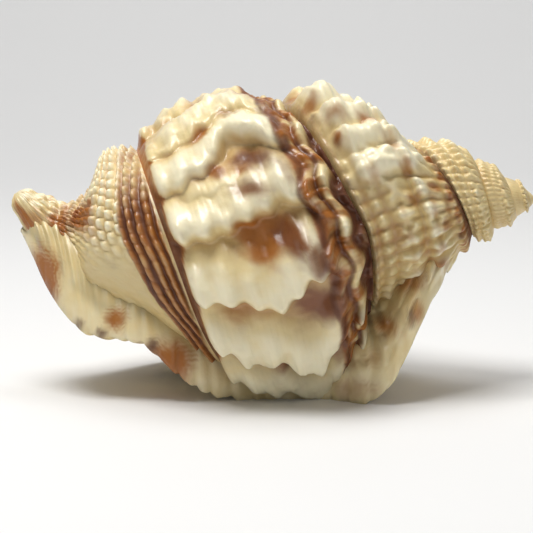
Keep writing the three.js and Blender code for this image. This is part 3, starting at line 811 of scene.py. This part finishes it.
BASE_ORANGE = [
    (12, 0.74, 45, 0.09, 1.1), (-30, 0.87, 26, 0.12, 1.4), (40, 0.6, 20, 0.09, 1.1),
    (-70, 0.7, 14, 0.08, 0.9), (31, 0.56, 16, 0.13, 1), (-50, 0.8, 14, 0.12, 0.95),
    (0, 0.86, 30, 0.06, 0.7), (-45, 0.42, 8, 0.08, 0.6), (100, 0.6, 40, 0.2, 0.6),
    (-20, 0.62, 9, 0.08, 0.5), (60, 0.72, 14, 0.08, 0.7),
]


def most(*shares):
    """The largest of some shares at each point."""
    total = shares[0]
    for share in shares[1:]:
        total = np.maximum(total, share)
    return total


valley = 1 - ease(rib, 0.6, 2.0)
rib_end = 0.93 + 0.045 * ease(rib, 0.3, 1.6)
meander, streak = shares["meander"], shares["streak"]
cord, knob = shares["cord"], shares["knob"]
nodular = ease(whorl_across, 0.03, 0.07) * (1 - ease(whorl_across, 0.2, 0.27))

# The whorl's colours.
# Painted shadow: the deep channel by the suture is painted dark brown for the shadow in it, over the suture's
# own brown.
channel_brown = 1.2 * (1 - ease(meander, 0.05, 0.085))
between_cords = 0.8 * np.maximum(hump(meander, 0.135, 0.032), hump(meander, 0.225, 0.035))
seam_wander = 0.85 + 0.25 * wander(whorl_angle / 8, whorl_across * 30, 50)
end_brown = ease(whorl_across, rib_end, rib_end + 0.02) * (0.8 - 0.6 * ease(whorl_angle, 20, 60))
whorl_brown = most(
    stains(whorl_angle, whorl_across, WHORL_BROWN, 60),
    most(channel_brown, between_cords) * seam_wander,
    end_brown,
)
whorl_orange = most(
    stains(whorl_angle, whorl_across, WHORL_ORANGE, 70) * (0.35 + 0.65 * valley),
    0.36 * valley * ease(whorl_across, 0.1, 0.2),
    nodular * (1.0 - 0.9 * knob - 0.3 * cord + 0.5 * streak),
    ease(whorl_across, rib_end - 0.02, rib_end + 0.01),
)
whorl_purple = most(
    stains(whorl_angle, whorl_across, WHORL_PURPLE, 80),
    hump(whorl_across, 0.215, 0.06) * 0.8 * valley,
    nodular * (1 - cord) * (1 - knob) * (0.8 - 0.5 * streak),
)

# The colours of the base and canal.
band, thin, kernel, upper = (base_shares[name] for name in ("band", "thin", "kernel", "upper"))
darker = 0.25 + 0.75 * (1 - ease(base_angle, 20, 65))
base_brown = band * darker * 1.2 * (1 - thin) * (0.9 + 0.25 * wander(base_angle / 9, base_x, 52))
base_orange = most(
    stains(base_angle, base_down, BASE_ORANGE, 90),
    band * (0.45 + 0.55 * darker) * (1.1 - (0.75 - 0.4 * darker) * thin),
    (1 - band) * upper * (0.42 - 0.5 * kernel),
)
# Painted shade: a little olive all over the whorl and more on its lower side between the ribs, and olive on
# the underside of the base.
whorl_olive = 0.14 + 0.34 * ease(-whorl_angle, -10, 50) * (1 - ease(rib, 1.2, 2.4))
base_olive = 0.3 * (1 - upper) * (1 - ease(base_down, 0.9, 1))
# Painted highlight: the kernels' tops on the upper side and the canal's tip are painted lighter.
base_ridge = 0.35 + 0.65 * kernel * upper + 0.25 * ease(base_down, 0.9, 1)
# Painted shade and highlight: the whorl's crests are painted lighter and its hollows darker by their height.
paint(
    last_whorl,
    growth=np.concatenate([whorl_angle, base_angle], 1),
    width=np.concatenate([whorl_across, 1 + base_down], 1),
    ridge=np.concatenate([0.2 + 0.32 * whorl_height, base_ridge], 1),
    olive=np.concatenate([whorl_olive, base_olive], 1),
    orange=np.concatenate([whorl_orange, base_orange], 1),
    purple=np.concatenate([whorl_purple, 0 * base_x], 1),
    brown=np.concatenate([whorl_brown, base_brown], 1),
)
cut_away(last_whorl, clear_of_mouth(last_points, MOUTH_MARGIN))

# The spire
# The older turns of the same tube, smaller and duller, netted with crossing cords and riblets. An old
# thickened lip crosses them at the top, in three stacked lobes with orange hollows between.

OLDEST_ANGLE = -1530.0
SPIRE_COLUMNS = 1450
SPIRE_ROWS = 66
START_DROP = 0.15
START_FADE = 6
COLUMN_CROWDING = 0.75
spire_share = np.linspace(0, 1, SPIRE_COLUMNS + 1)[:, None] ** COLUMN_CROWDING
spire_angle = OLDEST_ANGLE + (LIP_ANGLE - TURN + 1 - OLDEST_ANGLE) * spire_share
spire_across = np.linspace(0, 1, SPIRE_ROWS + 1)[None, :]
spire_angle, spire_across = spire_angle + 0 * spire_across, spire_across + 0 * spire_angle
spire_start = START_DROP * (1 - ease(spire_angle, OLDEST_ANGLE, OLDEST_ANGLE + START_FADE))
spire_start = spire_start * (1 - ease(spire_across, 0.7, 1))
spire_points, spire_height, spire_rib, spire_shares = whorl_points(spire_angle, spire_across, spire_start)
spire = sheet_from_grid("spire", stand(kept_under_plate(spire_points)))
finish(spire)

SPIRE_ORANGE = [
    (-304, 0.5, 5, 0.1, 0.8), (-318, 0.42, 6, 0.08, 0.7), (-330, 0.4, 6, 0.07, 0.7),
    (-311, 0.86, 5, 0.05, 0.9), (-289, 0.9, 4, 0.12, 0.7), (-303, 0.75, 4, 0.12, 0.6),
    (-270, 0.9, 6, 0.08, 0.7), (-340, 0.2, 6, 0.08, 0.85), (-346, 0.45, 6, 0.09, 0.7),
    (-366, 0.22, 6, 0.07, 0.85), (-372, 0.48, 7, 0.09, 0.6), (-330, 0.72, 6, 0.08, 0.5),
    (-360, 0.72, 12, 0.1, 0.5), (-395, 0.4, 8, 0.2, 0.6), (-520, 0.6, 9, 0.2, 0.5),
    (-600, 0.6, 12, 0.2, 0.5), (-820, 0.5, 14, 0.3, 0.4), (-250, 0.5, 12, 0.3, 0.7),
    (-200, 0.5, 14, 0.3, 0.6),
]
SPIRE_BROWN = [
    (-304, 0.48, 3, 0.05, 0.4), (-312, 0.88, 4, 0.04, 0.6), (-295, 0.93, 4, 0.04, 0.6),
    (-349, 0.13, 5, 0.05, 0.6), (-368, 0.1, 6, 0.04, 0.6), (-382, 0.12, 6, 0.05, 0.6),
]
recent = ease(spire_angle, -560, -420)
seam = (1 - ease(spire_across, 0.03, 0.075)) * ease(spire_angle, -640, -480)
speckle = 0.75 + 0.6 * wander(spire_angle / 3, spire_across * 30, 56)
granular = (1 - ease(spire_across, 0.07, 0.18)) * recent * speckle
# Painted shade: the hollows of the net are painted tan, more on the recent turns and away from the ribs, over
# the net's own tan.
hollows = (1 - spire_shares["grid"]) * (0.16 + 0.2 * recent) * (1 - ease(spire_rib, 0.5, 1.5))
hollows = hollows * (1 + wander(spire_angle / 12, spire_across * 9, 54))
# Painted shade and highlight on the spire: olive off the ribs of the recent turns, and its crests lighter and
# hollows darker by their height.
paint(
    spire,
    growth=spire_angle,
    width=spire_across,
    ridge=0.22 + 0.5 * spire_height - 0.1 * recent,
    olive=0.25 * recent * (1 - ease(spire_rib, 0.4, 1.2)) + 0 * spire_across,
    orange=most(stains(spire_angle, spire_across, SPIRE_ORANGE, 100), hollows, granular),
    purple=0.5 * hump(spire_across, 0.955, 0.04) * ease(spire_angle, -460, -400),
    brown=most(stains(spire_angle, spire_across, SPIRE_BROWN, 110), seam * 0.9),
)

# The apex
# The blunt tip is the shell of the young animal, a smooth worn dome on the oldest turn. Its sheet laps
# over the start of the coil.

APEX_X = 32.8
APEX_PROFILE = [(29, 2.9), (29.9, 2.4), (31.2, 1.7), (32.2, 0.9), (32.5, 0.6), (32.72, 0.28), (APEX_X, 0)]
APEX_RIM_POINTS = 265
POLE_MERGE = 0.03 * MM
APEX_OVERLAP = 15
APEX_TUCK = 0.1
APEX_ROWS = 16
rim_angle = np.linspace(OLDEST_ANGLE, OLDEST_ANGLE + TURN + APEX_OVERLAP, APEX_RIM_POINTS)[:, None]
rim = whorl_points(rim_angle, 0 * rim_angle, 0)[0]
pole = np.array([APEX_X, 0, float(through(CENTRE_HEIGHT, APEX_X))])
climb = np.sin(np.linspace(0, math.pi / 2, APEX_ROWS + 1))[None, :]
dome_x = rim[..., 0] + (APEX_X - rim[..., 0]) * climb
narrowing = through(APEX_PROFILE, dome_x) / through(APEX_PROFILE, rim[..., 0])
tucked = APEX_TUCK * ease(rim_angle, OLDEST_ANGLE + TURN, OLDEST_ANGLE + TURN + APEX_OVERLAP)
narrowing = narrowing * (1 - tucked * np.sin(math.pi * climb))
dome = pole + (rim - pole) * narrowing[..., None]
dome[..., 0] = dome_x
apex = sheet_from_grid("apex", stand(dome[:, ::-1]))
finish(apex)
plain_share = np.zeros(dome.shape[:2])
paint(
    apex,
    growth=plain_share,
    width=plain_share,
    ridge=plain_share + 0.55,
    olive=plain_share,
    orange=plain_share + 0.1,
    purple=plain_share,
    brown=plain_share,
)
deselect_all()
bpy.context.view_layer.objects.active = apex
apex.select_set(True)
bpy.ops.object.mode_set(mode="EDIT")
bpy.ops.mesh.select_all(action="SELECT")
bpy.ops.mesh.remove_doubles(threshold=POLE_MERGE)
bpy.ops.mesh.normals_make_consistent(inside=False)
bpy.ops.object.mode_set(mode="OBJECT")

# The setting
# A pale sweep of card under and behind the shell, soft lights above it and the camera in front. None of
# it is part of the shell.

SWEEP_START = 0.25
SWEEP_RADIUS = 0.35
CARD_WIDTH = 4
CARD_LENGTH = 2.6
CARD_FRONT = 1.2
deselect_all()
bpy.ops.mesh.primitive_grid_add(x_subdivisions=2, y_subdivisions=60, size=1)
floor = bpy.context.object
floor.name = "floor"
for corner in floor.data.vertices:
    run = (corner.co.y + 0.5) * CARD_LENGTH - CARD_FRONT
    past = max(run - SWEEP_START, 0) / SWEEP_RADIUS
    bend = min(past, math.pi / 2)
    rise = SWEEP_RADIUS * (1 - math.cos(bend)) + max(past - math.pi / 2, 0) * SWEEP_RADIUS
    corner.co = (corner.co.x * CARD_WIDTH, min(run, SWEEP_START) + SWEEP_RADIUS * math.sin(bend), rise)
bpy.ops.object.shade_smooth()
card = bpy.data.materials.new("pale_card")
card.use_nodes = True
card_surface = card.node_tree.nodes["Principled BSDF"]
card_surface.inputs["Base Color"].default_value = (0.8, 0.8, 0.8, 1)
card_surface.inputs["Roughness"].default_value = 0.7
card_surface.inputs["Specular IOR Level"].default_value = 0.2
floor.data.materials.append(card)

AIM = Vector((-0.0012, 0, 0.0152))
CAMERA_DISTANCE = 0.2515
CAMERA_RISE = math.radians(8)
camera = bpy.data.objects.new("camera", bpy.data.cameras.new("camera"))
camera.data.lens = 135
camera.data.sensor_width = 36
camera.data.clip_start = 0.01
bpy.context.scene.collection.objects.link(camera)
camera.location = AIM + CAMERA_DISTANCE * Vector((0, -math.cos(CAMERA_RISE), math.sin(CAMERA_RISE)))
camera.rotation_euler = (AIM - camera.location).to_track_quat("-Z", "Y").to_euler()
bpy.context.scene.camera = camera


def soft_light(name, location, size, power, tint, target=AIM):
    """A square soft light that faces the shell, or another target."""
    light = bpy.data.lights.new(name, "AREA")
    light.size = size
    light.energy = power
    light.color = tint
    holder = bpy.data.objects.new(name, light)
    holder.location = location
    holder.rotation_euler = (Vector(target) - Vector(location)).to_track_quat("-Z", "Y").to_euler()
    bpy.context.scene.collection.objects.link(holder)


BACK_OF_CARD = (0, 0.55, 0.05)
soft_light("key_light", (-0.07, -0.07, 0.3), size=0.14, power=0.76, tint=(1, 0.99, 0.97))
soft_light("fill_light", (0.25, -0.35, 0.14), size=0.2, power=0.11, tint=(0.96, 0.98, 1))
soft_light("card_light", (0, 0.15, 0.6), size=0.4, power=1.85, tint=(1, 1, 1), target=BACK_OF_CARD)

world = bpy.data.worlds.new("world")
world.use_nodes = True
world.node_tree.nodes["Background"].inputs["Color"].default_value = (0.93, 0.92, 0.9, 1)
world.node_tree.nodes["Background"].inputs["Strength"].default_value = 0.24
bpy.context.scene.world = world
bpy.context.scene.view_settings.view_transform = "Standard"
